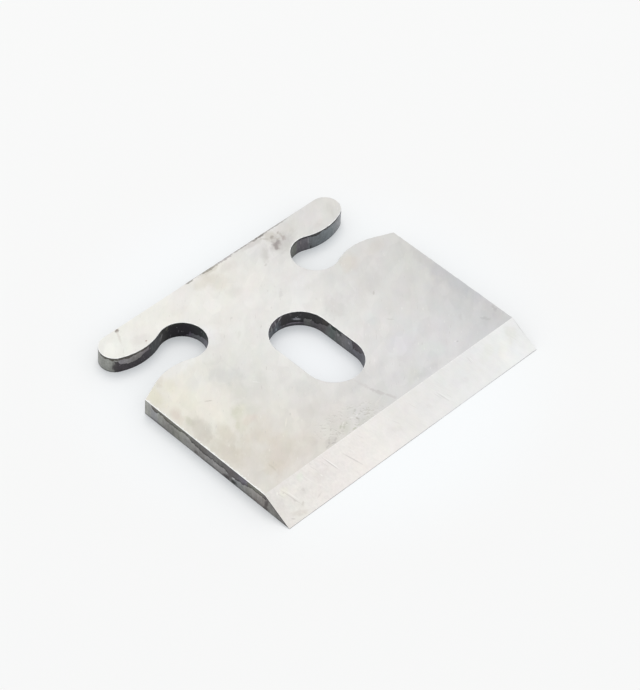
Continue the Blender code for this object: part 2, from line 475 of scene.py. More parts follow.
# Stains: x, y, half length, half width, turn, colour and strength. Their rims are ragged.
FACE_STAINS = [
    (-25.4, 8.2, 3.2, 1.5, 70, (225, 221, 201), 0.55),
    (-22.8, 9.9, 1.8, 0.6, 40, (213, 205, 191), 0.4),
    (-22.8, 4.8, 3.6, 2.4, 60, (235, 233, 219), 0.5),
    (-22.4, 8.2, 2.0, 1.4, 60, (230, 226, 209), 0.4),
    (-18.9, 6.3, 2.8, 1.6, 20, (230, 230, 227), 0.4),
    (-25.8, 2.9, 1.9, 1.0, 65, (212, 200, 189), 0.55),
    (-25.2, 0.9, 1.3, 0.6, 65, (200, 200, 182), 0.5),
    (-25.1, -1.8, 2.9, 1.8, 75, (203, 198, 188), 0.6),
    (-21.2, -0.6, 3.3, 1.3, 78, (237, 233, 223), 0.7),
    (-18.3, -2.7, 2.0, 1.4, 35, (211, 211, 194), 0.55),
    (-20.2, -5.0, 2.2, 1.3, 45, (214, 212, 196), 0.45),
    (-18.2, -4.9, 1.7, 1.0, 0, (224, 212, 203), 0.45),
    (-25.4, -7.2, 4.4, 2.0, 88, (205, 198, 185), 0.5),
    (-23.6, -11.0, 3.2, 2.2, 60, (211, 206, 197), 0.4),
    (-17.6, -7.6, 3.4, 1.8, 30, (221, 217, 205), 0.35),
    (-19.9, -13.2, 4.8, 2.6, 30, (213, 205, 192), 0.45),
    (-19.4, -8.8, 3.4, 1.9, -45, (215, 207, 192), 0.35),
    (-22.8, -8.4, 2.2, 1.8, 45, (213, 206, 190), 0.2),
    (-16.6, -11.3, 2.0, 1.1, 0, (227, 222, 213), 0.4),
    (-19.0, 18.4, 2.0, 1.1, 0, (216, 213, 207), 0.35),
    (-14.6, -13.4, 2.2, 1.3, -45, (214, 206, 197), 0.25),
    (-22.4, -14.2, 2.2, 1.4, 0, (213, 204, 188), 0.35),
    (-14.6, 4.2, 3.2, 2.0, -48, (212, 212, 209), 0.6),
    (-15.4, 0.4, 3.0, 1.6, 50, (213, 212, 205), 0.6),
    (-12.4, -1.4, 3.2, 1.6, 45, (217, 216, 210), 0.45),
    (-13.4, -6.2, 2.4, 1.4, 45, (234, 231, 223), 0.5),
    (-8.5, -13.8, 5.2, 2.6, 12, (213, 210, 204), 0.2),
    (-3.0, -15.8, 3.6, 1.3, 0, (212, 210, 206), 0.3),
    (-9.5, -10.2, 2.8, 1.6, 30, (216, 213, 207), 0.4),
    (16.8, 8.6, 2.6, 1.8, 30, (215, 207, 199), 0.5),
    (23.3, 19.5, 2.0, 0.7, 50, (206, 202, 197), 0.25),
    (19.6, 18.2, 1.7, 0.7, 10, (215, 209, 204), 0.35),
    (15.7, 3.4, 4.6, 2.4, 30, (210, 208, 205), 0.5),
    (13.2, 0.7, 1.9, 1.1, 0, (228, 227, 224), 0.45),
    (8.2, 2.8, 3.2, 2.2, 45, (209, 208, 205), 0.55),
    (10.0, -9.4, 3.2, 2.4, 40, (223, 222, 226), 0.4),
    (13.6, -7.4, 2.4, 2.8, 0, (215, 219, 217), 0.4),
    (13.5, -11.5, 1.9, 1.1, 0, (225, 225, 225), 0.45),
    (10.6, -2.4, 1.8, 1.4, 0, (219, 224, 221), 0.4),
    (13.0, -13.6, 2.2, 2.6, 60, (217, 222, 218), 0.45),
    (6.3, -15.5, 2.2, 1.0, 20, (213, 214, 205), 0.3),
    (21.6, -10.6, 3.4, 2.1, 40, (208, 208, 210), 0.25),
    (26.9, -4.4, 7.9, 2.9, 87, (197, 197, 200), 0.65),
    (22.6, -4.4, 2.0, 1.5, 60, (206, 206, 208), 0.4),
    (26.2, 1.6, 2.6, 1.2, 90, (206, 203, 198), 0.4),
    (19.4, -1.2, 2.0, 1.5, 0, (221, 220, 218), 0.45),
    (24.8, -14.2, 3.2, 1.5, 25, (197, 197, 197), 0.4),
    (22.6, 8.3, 2.4, 1.3, 0, (216, 212, 204), 0.35),
    (16.4, 11.3, 2.4, 1.0, 0, (221, 222, 223), 0.5),
    (4.4, -14.4, 1.8, 1.2, 45, (211, 211, 211), 0.4),
    (-1.4, 19.4, 3.2, 1.8, 80, (224, 219, 208), 0.45),
    (-0.6, 22.2, 2.4, 0.6, 0, (207, 202, 190), 0.5),
    (8.1, 18.9, 2.0, 0.9, 50, (210, 208, 203), 0.5),
    (14.4, 20.8, 3.0, 1.6, 10, (216, 212, 207), 0.5),
    (11.4, 21.3, 1.7, 1.1, 60, (203, 199, 190), 0.55),
    (12.0, 19.0, 3.4, 2.1, 10, (199, 197, 193), 0.7),
    (1.6, 21.0, 2.2, 1.2, 0, (221, 217, 211), 0.5),
    (-1.2, 16.2, 2.0, 1.3, 0, (221, 218, 212), 0.5),
    (-17.6, 10.6, 4.8, 1.8, 5, (237, 237, 235), 0.55),
    (-13.6, 8.6, 1.8, 1.5, 0, (237, 236, 231), 0.55),
    (-22.7, -4.9, 2.8, 1.6, 75, (210, 205, 191), 0.6),
    (-16.4, -3.8, 1.6, 1.3, 0, (213, 212, 202), 0.4),
    (-7.6, -5.9, 2.4, 2.1, 80, (213, 212, 209), 0.55),
    (0.6, -10.4, 6.6, 1.7, 0, (210, 209, 207), 0.5),
    (-2.8, 21.0, 2.6, 1.3, 0, (221, 215, 204), 0.5),
    (-11.4, 12.3, 3.0, 2.5, 0, (242, 242, 242), 0.65),
    (-10.6, 18.6, 2.0, 1.3, 0, (226, 223, 216), 0.4),
    (10.2, 10.6, 4.8, 1.5, 0, (234, 233, 232), 0.55),
    (-23.4, 19.8, 1.8, 1.8, 0, (244, 244, 239), 0.6),
    (-19.8, 21.0, 2.4, 1.0, 0, (242, 241, 235), 0.35),
    (-13.3, -10.0, 2.8, 1.3, 55, (232, 229, 221), 0.6),
    (17.6, -9.2, 4.4, 1.5, 0, (222, 222, 222), 0.4),
    (-16.4, -15.2, 2.4, 1.5, 8, (210, 205, 197), 0.5),
    (-12.7, -16.5, 1.6, 0.7, 10, (203, 199, 193), 0.35),
    (-8.6, -15.9, 1.5, 0.9, 30, (207, 208, 196), 0.4),
    (-5.4, -16.9, 1.7, 0.5, 0, (205, 206, 197), 0.4),
    (9.2, -16.2, 3.0, 1.0, 0, (205, 205, 204), 0.5),
    (8.4, 22.0, 2.6, 0.6, 0, (203, 199, 194), 0.5),
]

# Pits, specks and scratches, in the same terms. For their size, their rims are more ragged.
FACE_MARKS = [
    (11.2, 19.3, 1.4, 0.9, 35, (186, 180, 177), 0.75),
    (11.6, 19.6, 0.8, 0.5, 20, (160, 153, 152), 0.8),
    (10.7, 18.9, 0.8, 0.4, 35, (162, 155, 153), 0.8),
    (13.05, 19.7, 0.6, 0.36, 60, (178, 168, 165), 0.65),
    (13.25, 20.6, 0.5, 0.2, 70, (190, 184, 176), 0.5),
    (13.2, 21.15, 0.5, 0.2, 25, (178, 172, 164), 0.6),
    (11.7, 20.95, 0.45, 0.34, 60, (162, 154, 147), 0.7),
    (12.3, 20.1, 0.5, 0.22, -20, (192, 186, 176), 0.5),
    (10.5, 21.6, 0.9, 0.25, -40, (196, 191, 184), 0.5),
    (8.2, 18.8, 1.7, 0.5, 52, (206, 204, 199), 0.45),
    (6.6, 17.1, 0.32, 0.26, 0, (196, 192, 187), 0.5),
    (-4.9, 22.46, 0.8, 0.2, 0, (146, 142, 134), 0.8),
    (-0.8, 22.42, 2.2, 0.28, 0, (150, 145, 136), 0.8),
    (3.0, 22.42, 2.0, 0.26, 0, (168, 161, 163), 0.7),
    (6.4, 22.5, 1.7, 0.2, 0, (162, 157, 153), 0.7),
    (10.2, 22.45, 2.4, 0.28, 0, (134, 129, 124), 0.9),
    (14.2, 22.52, 2.6, 0.2, 0, (156, 152, 148), 0.7),
    (-20.4, 22.3, 0.46, 0.28, 30, (140, 130, 124), 0.95),
    (-21.1, 21.0, 1.6, 0.26, 62, (219, 215, 208), 0.6),
    (-18.5, 17.6, 0.22, 0.17, 0, (168, 138, 132), 0.9),
    (-5.5, 12.3, 0.24, 0.18, 0, (208, 205, 200), 0.5),
    (3.9, 10.9, 1.1, 0.3, 45, (214, 212, 209), 0.55),
    (-7.2, 8.8, 1.0, 0.3, 45, (220, 217, 211), 0.4),
    (-20.1, 1.9, 0.55, 0.17, -35, (200, 195, 185), 0.6),
    (-18.5, -2.4, 1.0, 0.6, 15, (205, 204, 186), 0.3),
    (-20.4, -4.6, 0.8, 0.4, 45, (207, 206, 187), 0.35),
    (-14.6, -9.1, 0.9, 0.12, 40, (238, 235, 226), 0.55),
    (-12.9, -8.3, 0.45, 0.16, 45, (204, 202, 194), 0.5),
    (-20.3, -11.4, 0.5, 0.12, 45, (236, 232, 222), 0.55),
    (-24.1, -6.7, 0.4, 0.14, 45, (236, 233, 222), 0.55),
    (-12.1, -0.1, 0.6, 0.1, -50, (239, 238, 235), 0.55),
    (14.8, 1.2, 0.5, 0.17, 40, (196, 192, 187), 0.6),
    (12.6, -4.6, 0.6, 0.13, -45, (194, 191, 189), 0.5),
    (21.0, -11.6, 0.8, 0.3, 45, (197, 196, 195), 0.35),
    (23.7, -14.6, 1.1, 0.4, -50, (186, 186, 185), 0.5),
    (26.3, -14.0, 0.8, 0.4, 70, (178, 177, 177), 0.5),
    (16.8, -15.0, 0.22, 0.17, 0, (190, 190, 190), 0.55),
    (16.55, -14.75, 0.22, 0.16, 0, (234, 234, 232), 0.6),
    (0.0, -14.0, 1.6, 0.42, -72, (193, 188, 186), 0.5),
    (-0.5, -11.8, 1.8, 0.36, -80, (207, 203, 201), 0.45),
    (0.9, -16.0, 1.4, 0.28, -68, (199, 195, 193), 0.5),
    (-22.4, -14.2, 1.2, 0.2, 88, (198, 192, 180), 0.45),
    (-13.5, -16.85, 0.6, 0.16, 15, (190, 185, 182), 0.55),
    (-12.8, -16.55, 0.4, 0.2, 60, (190, 186, 182), 0.55),
    (-12.2, -16.95, 0.6, 0.16, -15, (184, 179, 176), 0.65),
    (-11.5, -16.6, 0.45, 0.18, 30, (192, 188, 183), 0.55),
    (-12.3, -16.0, 0.4, 0.15, 40, (198, 195, 186), 0.5),
    (-10.6, -15.9, 0.5, 0.22, 60, (199, 196, 188), 0.5),
    (-9.3, -15.4, 0.5, 0.2, 35, (190, 192, 177), 0.6),
    (-8.8, -15.7, 0.4, 0.18, 40, (193, 195, 181), 0.5),
    (-7.9, -17.0, 0.5, 0.18, 0, (191, 195, 177), 0.7),
    (-7.0, -16.9, 0.5, 0.2, 10, (194, 196, 184), 0.6),
    (-6.2, -16.2, 0.5, 0.2, 50, (199, 197, 193), 0.5),
    (-6.1, -15.8, 0.34, 0.16, 70, (180, 179, 170), 0.55),
    (-5.2, -14.4, 0.4, 0.18, 30, (193, 193, 186), 0.55),
    (-4.6, -15.0, 0.4, 0.16, 60, (194, 194, 188), 0.5),
    (-6.6, -15.1, 0.34, 0.16, -20, (238, 238, 234), 0.6),
    (-5.7, -15.3, 0.3, 0.16, 20, (240, 240, 237), 0.6),
    (-8.4, -15.1, 0.5, 0.14, 30, (239, 238, 232), 0.5),
    (-1.4, -15.5, 1.8, 0.2, 18, (229, 226, 222), 0.4),
]

# In half sizes of its ellipse, a stain is full out to STAIN_HEART and gone at STAIN_END,
# and the ragged noise moves its rim by STAIN_RIM or MARK_RIM.
STAIN_HEART = 0.35
STAIN_END = 1.2
STAIN_REACH = 2.5
STAIN_RIM = 1.6
MARK_RIM = 3.0


def stained(color, place, stains, ragged, rim):
    """Lay each stain's ellipse over the colour, fading from its heart to its end.

    Nearness is 1 - distance / STAIN_REACH, and the ragged noise shifts it.
    """
    shift = (ragged - 0.5) * (rim / STAIN_REACH)
    faint = 1 - STAIN_END / STAIN_REACH
    full = 1 - STAIN_HEART / STAIN_REACH
    for x, y, half_length, half_width, turn, stain, strength in stains:
        depth = place.nearness(x, y, half_length, half_width, turn) - shift
        color = color.mixed(linear(*stain), depth.between(faint, full, 0.0, strength))
    return color


def dappled(color, place, size, seed, reach):
    """Colour with each channel raised and lowered on its own by soft noise."""
    noise = place.noise(size, seed, detail=3.0, output=1)
    low = 1 - reach / 2
    tint = noise.node("VectorMath", {"operation": "MULTIPLY_ADD"},
                      {0: noise, 1: (reach, reach, reach), 2: (low, low, low)})
    return color.times(tint)


# The small marks that noise lays: dents and painted glints all over, pits by the crease with
# a painted highlight on the rim beside each, and chips along the left edge painted near white
# as glints.
DENT_COLOR = linear(196, 193, 188)
GLINT_COLOR = linear(244, 243, 239)
PIT_COLOR = linear(184, 181, 172)
PIT_HIGHLIGHT_COLOR = linear(240, 240, 235)
PIT_HIGHLIGHT_SHIFT = (0.14, 0.14, 0)
PITTED_PATCH = (-7.4, -15.2, 6.2, 2.6, -8)
CHIP_GLINT_COLOR = linear(250, 250, 247)
ground_face, face_wire, shader = new_finish("ground_face")
plan = from_above(face_wire)
y = plan.axis("Y")
# The face's tone rows: partly tarnish, partly a painted reflection of the room.
color = along_width(plan, FRONT_TONE)
color = color.mixed(along_width(plan, MIDDLE_TONE), y.between(-15, 3))
color = color.mixed(along_width(plan, BACK_TONE), y.between(6, 20))
ragged = plan.drawn_out(1.3, 0.8, GRAIN_TURN).noise(1.8, 1.0, detail=5.0, roughness=0.6)
color = stained(color, plan, FACE_STAINS, ragged, STAIN_RIM)
along_grain = plan.drawn_out(1.5, 0.85, GRAIN_TURN)
color = dappled(color, along_grain, 3.4, 2.0, 0.05)
color = dappled(color, along_grain, 1.0, 3.0, 0.03)
cloud = along_grain.noise(2.2, 4.0, detail=5.0, roughness=0.55)
rubs = plan.drawn_out(2.2, 0.5, GRAIN_TURN).noise(0.9, 5.0, detail=3.0)
worn = along_grain.node("TexVoronoi", {"feature": "SMOOTH_F1", "voronoi_dimensions": "3D"},
                        {"Vector": along_grain, "Scale": 0.42, "Smoothness": 0.12}, output=1)
tone = 1.0 + (cloud - 0.5) * 0.17 + (rubs - 0.5) * 0.06 + (worn.axis("X") - 0.5) * 0.05
color = color.scaled(tone)
# Dark dents and light painted glints, in dashes along the grain.
dash = plan.drawn_out(1.6, 0.34, GRAIN_TURN)
dent = dash.noise(0.8, 7.0, detail=2.0).between(0.64, 0.76)
color = color.mixed(DENT_COLOR, dent * 0.35)
glint = dash.noise(0.8, 12.0, detail=2.0).between(0.64, 0.76)
color = color.mixed(GLINT_COLOR, glint * 0.5)
patchy = plan.noise(1.5, 8.5, detail=3.0).between(0.38, 0.56)
pitted = plan.nearness(*PITTED_PATCH).between(0.45, 0.85) * patchy
# Painted highlight: the pit noise moved aside a little gives a light rim beside each pit.
beside = plan.node("VectorMath", {"operation": "ADD"}, {0: plan, 1: PIT_HIGHLIGHT_SHIFT})
pit = plan.noise(0.48, 8.0, detail=3.0, roughness=0.6).between(0.5, 0.66)
pit_highlight = beside.noise(0.48, 8.0, detail=3.0, roughness=0.6).between(0.5, 0.66)
color = color.mixed(PIT_HIGHLIGHT_COLOR, pit_highlight * pitted * 0.5)
color = color.mixed(PIT_COLOR, pit * pitted * 0.55)
small_ragged = plan.noise(0.7, 9.0, detail=5.0, roughness=0.65)
color = stained(color, plan, FACE_MARKS, small_ragged, MARK_RIM)
# Chips along the left edge, painted near white as glints.
left_edge = -SIDE / MILLIMETRE
chipped = plan.axis("X").between(left_edge + 0.12, left_edge + 0.42, 0.8, 0.0)
chips = plan.noise(0.5, 10.0, detail=2.0).between(0.5, 0.6)
color = color.mixed(CHIP_GLINT_COLOR, chipped * chips)
feed_steel(shader, color, 0.34 + (rubs - 0.5) * 0.10 + (cloud - 0.5) * 0.12)


# The bevel. It is ground to the edge on a wheel, which leaves steep fine scratches, and its
# left half is rough with small pits. It is resharpened, and its tone is painted brighter than
# the face's, partly fresh steel and partly a painted highlight.
BEVEL_TONE = [(-27, (229, 226, 221)), (-22, (233, 230, 225)), (-17, (234, 230, 226)),
              (-12, (237, 233, 229)), (-6, (238, 235, 231)), (0, (233, 231, 228)),
              (12, (232, 232, 231)), (18, (233, 233, 232)), (23, (238, 239, 238)),
              (27, (234, 235, 234))]
WHEEL_TURN = -63
HONED_WIDTH = 3.2
BURR_COLOR = linear(250, 250, 248)
BEVEL_STAIN_RIM = 2.2
SCRATCH_RIM = 0.6
BEVEL_STAINS = [
    (-21.3, -19.8, 0.9, 0.6, 10, (216, 212, 207), 0.35),
    (-23.6, -20.6, 1.4, 0.6, -60, (219, 215, 209), 0.2),
    (-22.7, -19.1, 1.5, 0.7, 0, (240, 236, 230), 0.45),
    (-24.0, -21.8, 1.5, 0.4, -20, (212, 206, 200), 0.5),
    (-25.9, -19.8, 1.3, 0.9, 40, (221, 216, 212), 0.5),
    (-24.0, -18.4, 1.2, 0.7, 20, (238, 236, 222), 0.5),
    (-20.4, -17.9, 0.9, 0.6, 20, (222, 229, 214), 0.4),
    (-17.2, -19.4, 1.8, 0.8, 20, (226, 221, 216), 0.5),
    (-2.0, -20.3, 1.4, 0.5, -25, (224, 220, 216), 0.45),
    (5.0, -20.4, 0.9, 0.4, -30, (224, 221, 218), 0.45),
    (12.8, -20.3, 1.0, 0.5, 0, (225, 224, 222), 0.4),
    (19.4, -19.0, 1.8, 1.0, 20, (231, 232, 226), 0.5),
    (24.8, -18.9, 1.5, 1.2, 60, (223, 224, 217), 0.5),
    (22.0, -20.2, 2.6, 0.9, 30, (242, 242, 234), 0.4),
]
BEVEL_SCRATCHES = [
    (-23.6, -19.6, 1.9, 0.12, -64, (204, 200, 195), 0.6),
    (-24.9, -18.6, 0.8, 0.09, -60, (212, 208, 203), 0.45),
    (-23.3, -19.4, 1.6, 0.10, -64, (247, 246, 241), 0.6),
    (-23.5, -20.1, 0.28, 0.14, -64, (202, 198, 192), 0.6),
    (-22.6, -21.0, 0.4, 0.2, 30, (208, 203, 196), 0.55),
    (-25.5, -21.9, 0.4, 0.12, -30, (196, 192, 187), 0.6),
    (-25.2, -18.1, 0.3, 0.14, 40, (250, 248, 240), 0.6),
    (-24.3, -18.5, 0.24, 0.14, 0, (208, 204, 198), 0.5),
    (-21.3, -19.6, 0.34, 0.24, 0, (210, 206, 201), 0.5),
    (-19.6, -21.4, 0.8, 0.1, 15, (214, 210, 205), 0.45),
    (-17.3, -19.5, 0.26, 0.14, -60, (251, 249, 245), 0.6),
    (-14.9, -19.0, 1.5, 0.12, -66, (203, 200, 196), 0.65),
    (-14.65, -19.1, 1.4, 0.10, -66, (250, 249, 247), 0.75),
    (-15.8, -18.5, 0.8, 0.08, -62, (212, 208, 204), 0.45),
    (-11.3, -20.2, 1.9, 0.12, -58, (203, 200, 196), 0.6),
    (-10.6, -19.2, 1.0, 0.08, -60, (247, 246, 243), 0.4),
    (-17.7, -18.2, 0.6, 0.08, -60, (214, 210, 206), 0.45),
    (-19.5, -18.9, 0.8, 0.08, -64, (246, 245, 240), 0.45),
    (-8.0, -18.4, 0.6, 0.08, -58, (214, 211, 207), 0.4),
    (-1.4, -19.6, 0.8, 0.08, -50, (216, 213, 210), 0.4),
    (2.6, -19.0, 0.8, 0.07, -60, (217, 215, 212), 0.4),
    (8.0, -20.5, 1.2, 0.11, -62, (209, 207, 205), 0.5),
    (8.25, -20.4, 1.1, 0.07, -62, (248, 248, 246), 0.6),
    (7.3, -19.9, 0.9, 0.08, -62, (214, 212, 210), 0.45),
    (9.0, -20.8, 0.7, 0.07, -62, (214, 213, 211), 0.4),
    (15.8, -18.5, 0.7, 0.09, -84, (211, 210, 209), 0.5),
    (16.2, -18.6, 0.6, 0.07, -80, (247, 247, 246), 0.5),
    (24.8, -19.6, 0.9, 0.08, -62, (219, 219, 218), 0.4),
    (26.88, -18.9, 1.3, 0.10, 90, (206, 206, 205), 0.6),
]
ground_bevel, bevel_wire, shader = new_finish("ground_bevel")
plan = from_above(bevel_wire)
color = along_width(plan, BEVEL_TONE)
ragged = plan.noise(1.4, 11.0, detail=5.0, roughness=0.6)
color = stained(color, plan, BEVEL_STAINS, ragged, BEVEL_STAIN_RIM)
color = dappled(color, plan, 2.4, 12.5, 0.045)
color = dappled(color, plan, 0.8, 13.0, 0.03)
wheel_marks = plan.drawn_out(2.6, 0.2, WHEEL_TURN).noise(0.7, 14.0, detail=3.0)
fine_marks = plan.drawn_out(1.4, 0.1, WHEEL_TURN).noise(0.9, 15.0, detail=1.0)
cloud = plan.noise(1.6, 16.0, detail=4.0, roughness=0.6)
edge_y = FRONT / MILLIMETRE
honed = plan.axis("Y").between(edge_y, edge_y + HONED_WIDTH, 0.03, 0.0)
rough_end = plan.axis("X").between(-14, 2, 1.0, 0.0)
speck = plan.noise(0.42, 18.0, detail=3.0, roughness=0.6)
dimple = plan.noise(0.9, 19.0, detail=3.0)
tone = 1.0 + (wheel_marks - 0.5) * 0.08 + (fine_marks - 0.5) * 0.04 + (cloud - 0.5) * 0.16
tone = tone + (speck * 2 + dimple - 1.5) * rough_end * 0.10
color = color.scaled(tone + honed)
ragged = plan.noise(0.5, 17.0, detail=2.0)
color = stained(color, plan, BEVEL_SCRATCHES, ragged, SCRATCH_RIM)
crease_y = CREASE / MILLIMETRE
burr = plan.axis("Y").between(crease_y - 0.22, crease_y - 0.05) * fine_marks.between(0.45, 0.6)
burr = burr * plan.axis("X").between(-24, -16)
color = color.mixed(BURR_COLOR, burr * 0.6)
feed_steel(shader, color, 0.32 + (wheel_marks - 0.5) * 0.12)


# The rim of the steel, where grinding the faces left a sharp edge that was broken a little.
# It shows as a bright hair line, partly burnished and partly painted highlights, and fades
# from left to right as the face's painted reflection does. It is painted dark in places
# along the back edge.
RIM_TONE = [(-26, (236, 237, 235)), (8, (225, 226, 226)), (26, (205, 207, 210))]
RIM_BRIGHT = linear(255, 255, 253)
RIM_DULL = linear(84, 80, 80)
bright_rim, rim_wire, shader = new_finish("bright_rim")
plan = from_above(rim_wire)
nicks = plan.noise(0.7, 21.0, detail=3.0)
color = along_width(plan, RIM_TONE)
# Painted highlight: near-white nicks along the rim.
color = color.mixed(RIM_BRIGHT, nicks.between(0.34, 0.62))
across = plan.axis("X")
# Painted dark along part of the back edge.
dull = plan.axis("Y").between(22.3, 22.5) * across.between(-7.0, -4.5)
dull = dull * across.between(11, 20, 1.0, 0.25)
color = color.mixed(RIM_DULL, dull * nicks.between(0.36, 0.56) * 0.9)
feed_steel(shader, color, 0.3)


# The walls between the faces. The plate was blanked and never ground here, so they keep
# dark scale in a band under the top, with bare grey steel below where it has rubbed off.

# A stretch's bare steel is a list of the distance along the wall and the colour there, in
# millimetres. Layers of scale lie over it. Each starts with how much darker it is along its
# lower border, and lists the distance, the border's height and the colour there. A border
# at NEVER is above the plate, so that layer is missing there.
NEVER = 3.6
LEFT_SIDE_BARE = [
    (0.0, (152, 152, 146)), (1.2, (150, 150, 146)), (1.5, (141, 141, 142)),
    (2.6, (141, 141, 142)), (3.0, (147, 148, 142)), (4.6, (132, 130, 126)),
    (6.0, (128, 127, 122)), (7.5, (134, 134, 127)), (9.5, (144, 143, 140)),
    (10.2, (140, 138, 134)), (12.7, (133, 130, 128)), (14.5, (138, 136, 134)),
    (17.0, (136, 133, 132)), (20.0, (122, 125, 126)), (22.5, (134, 132, 128)),
    (25.8, (136, 131, 127)), (27.2, (129, 127, 123)), (31.5, (120, 118, 116)),
]
LEFT_SIDE_SCALE = [
    (0.6, [
        (0.0, NEVER, (150, 150, 142)), (1.2, 3.3, (134, 134, 124)), (1.5, 2.45, (114, 109, 102)),
        (2.5, 2.05, (106, 102, 97)), (2.9, 2.5, (118, 117, 108)), (4.1, 2.45, (114, 112, 103)),
        (4.5, 2.15, (108, 105, 95)), (6.0, 2.2, (118, 118, 108)), (7.6, 2.2, (112, 112, 102)),
        (8.2, 2.5, (116, 116, 106)), (9.8, 2.45, (116, 116, 108)), (10.3, 1.95, (104, 102, 98)),
        (11.6, 1.75, (100, 98, 94)), (12.9, 1.5, (99, 95, 92)), (14.0, 1.5, (110, 108, 107)),
        (15.8, 1.7, (108, 106, 103)), (17.4, 1.6, (104, 101, 99)), (18.2, 1.5, (100, 95, 95)),
        (19.9, 1.5, (100, 96, 98)), (21.4, 1.6, (106, 102, 110)), (22.2, 1.85, (106, 102, 110)),
        (22.5, 2.25, (110, 108, 100)), (24.0, 2.1, (116, 116, 106)), (25.6, 2.2, (110, 106, 99)),
        (26.2, 2.1, (94, 88, 86)), (26.6, 2.6, (94, 88, 86)), (27.0, NEVER, (100, 96, 92)),
        (31.5, NEVER, (100, 96, 92)),
    ]),
]
# Inside the left notch the colours are partly darker scale and partly painted shade of the
# hollow.
LEFT_EAR_BARE_AND_SHADE = [
    (0.0, (150, 150, 146)), (4.2, (144, 145, 140)), (5.95, (140, 141, 136)), (6.2, (73, 70, 70)),
    (6.9, (62, 57, 61)), (9.4, (60, 56, 60)), (12.3, (53, 48, 55)), (13.2, (52, 55, 57)),
    (15.0, (47, 48, 51)), (16.2, (48, 46, 44)), (17.2, (34, 32, 32)), (18.0, (25, 22, 27)),
    (20.0, (38, 34, 40)), (20.9, (84, 80, 90)), (22.3, (100, 102, 104)), (23.6, (112, 112, 118)),
    (24.6, (122, 120, 128)), (31.0, (112, 112, 110)),
]
LEFT_EAR_SCALE_AND_SHADE = [
    (0.0, [
        (0.0, NEVER, (144, 145, 140)), (5.9, NEVER, (144, 145, 140)), (6.2, 2.1, (140, 141, 137)),
        (6.85, 2.2, (138, 136, 134)), (7.05, 1.65, (134, 130, 134)), (8.9, 1.5, (138, 135, 134)),
        (10.4, 1.5, (128, 125, 122)), (11.2, 1.85, (122, 116, 119)), (12.0, 2.0, (120, 113, 118)),
        (12.35, 2.1, (120, 113, 118)), (12.5, NEVER, (112, 106, 110)),
        (31.0, NEVER, (112, 106, 110)),
    ]),
    (0.1, [
        (0.0, NEVER, (28, 26, 29)), (17.4, NEVER, (28, 26, 29)), (17.8, 0, (26, 22, 28)),
        (20.0, 0, (26, 21, 30)), (20.6, 0.7, (29, 24, 34)), (22.0, 0.95, (30, 30, 34)),
        (23.2, 1.3, (34, 38, 40)), (24.4, 1.9, (42, 46, 48)), (26.0, 2.2, (60, 60, 62)),
        (31.0, 1.9, (100, 100, 98)),
    ]),
    (0.25, [
        (0.0, 2.75, (118, 116, 110)), (4.2, 2.7, (98, 95, 88)), (6.2, 2.6, (92, 89, 82)),
        (8.0, 2.65, (92, 88, 82)), (8.4, 2.35, (90, 86, 80)), (8.9, 2.65, (92, 88, 82)),
        (11.8, 2.7, (88, 82, 78)), (12.8, 2.8, (72, 70, 70)), (15.5, 2.8, (66, 64, 62)),
        (17.2, 2.7, (54, 52, 47)), (19.0, 2.6, (42, 41, 41)), (24.0, 2.6, (42, 47, 47)),
        (31.0, 2.8, (80, 80, 78)),
    ]),
]
RIGHT_EAR_BARE = [
    (0.0, (160, 160, 160)), (6.3, (156, 157, 160)), (8.3, (140, 142, 145)),
    (9.8, (124, 130, 133)), (11.5, (118, 124, 128)), (13.5, (112, 116, 118)),
    (14.7, (108, 110, 113)), (14.9, (105, 102, 107)), (17.0, (104, 100, 105)),
    (17.2, (116, 117, 111)), (19.0, (114, 115, 111)), (31.0, (118, 118, 116)),
]
RIGHT_EAR_SCALE = [
    (0.3, [
        (0.0, 2.85, (118, 116, 114)), (6.3, 2.8, (112, 108, 108)), (8.3, 2.75, (88, 84, 83)),
        (11.5, 2.75, (80, 78, 78)), (13.5, 2.55, (70, 68, 68)), (14.4, 2.6, (62, 60, 62)),
        (14.9, 2.85, (74, 69, 74)), (17.0, 2.8, (74, 72, 74)), (19.0, 2.75, (82, 82, 80)),
        (31.0, 2.75, (96, 95, 92)),
    ]),
]
